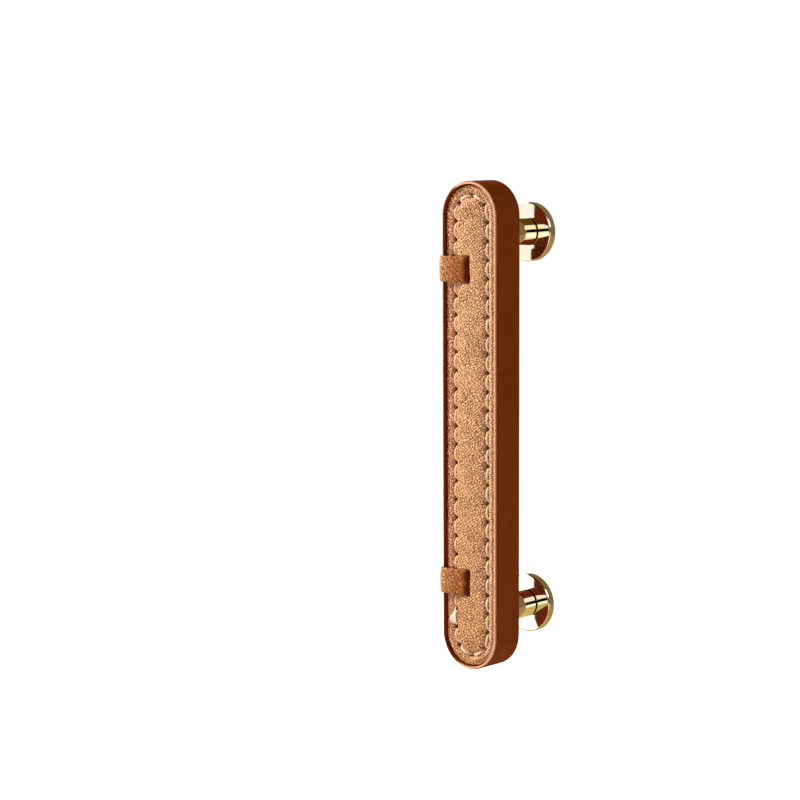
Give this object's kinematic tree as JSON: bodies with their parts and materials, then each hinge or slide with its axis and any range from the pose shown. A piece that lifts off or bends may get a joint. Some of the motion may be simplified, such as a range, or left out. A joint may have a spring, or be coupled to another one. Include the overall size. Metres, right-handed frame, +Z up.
{
  "type": "leather-covered bar cabinet pull",
  "caption": "Leather-covered bar pull with round ends, a stitched puffed face in a raised rim, wrap loops and polished round-footed posts.",
  "frame": {"origin": "on the door's face, midway between the two fixing holes", "axes": "+X across the bar, +Y back into the door, +Z up along the bar"},
  "size_m": [0.0247, 0.0353, 0.164],
  "materials": {
    "core_metal": "plain milled flat bar",
    "edge_leather": "smooth dark brown leather with a rubbed paler front edge",
    "back_leather": "smooth dark brown leather",
    "liner_board": "bonded leather board",
    "padding_foam": "thin soft foam",
    "face_leather": "tan pebbled leather, puffed and stitched",
    "thread": "waxed cream thread",
    "loop_leather": "tan pebbled leather strap",
    "polished_gold": "mirror-polished pale gold",
    "stud_steel": "plain steel stud"
  },
  "bodies": {
    "root": {"core_bar": "core_metal", "edge_strap": "edge_leather", "back_panel": "back_leather", "sewing_liner": "liner_board", "padding": "padding_foam", "face_panel": "face_leather", "face_stitching": "thread", "loop_upper": "loop_leather", "loop_lower": "loop_leather", "post_upper": "polished_gold", "post_lower": "polished_gold", "stud_upper": "stud_steel", "stud_lower": "stud_steel"}
  },
  "joints": []
}
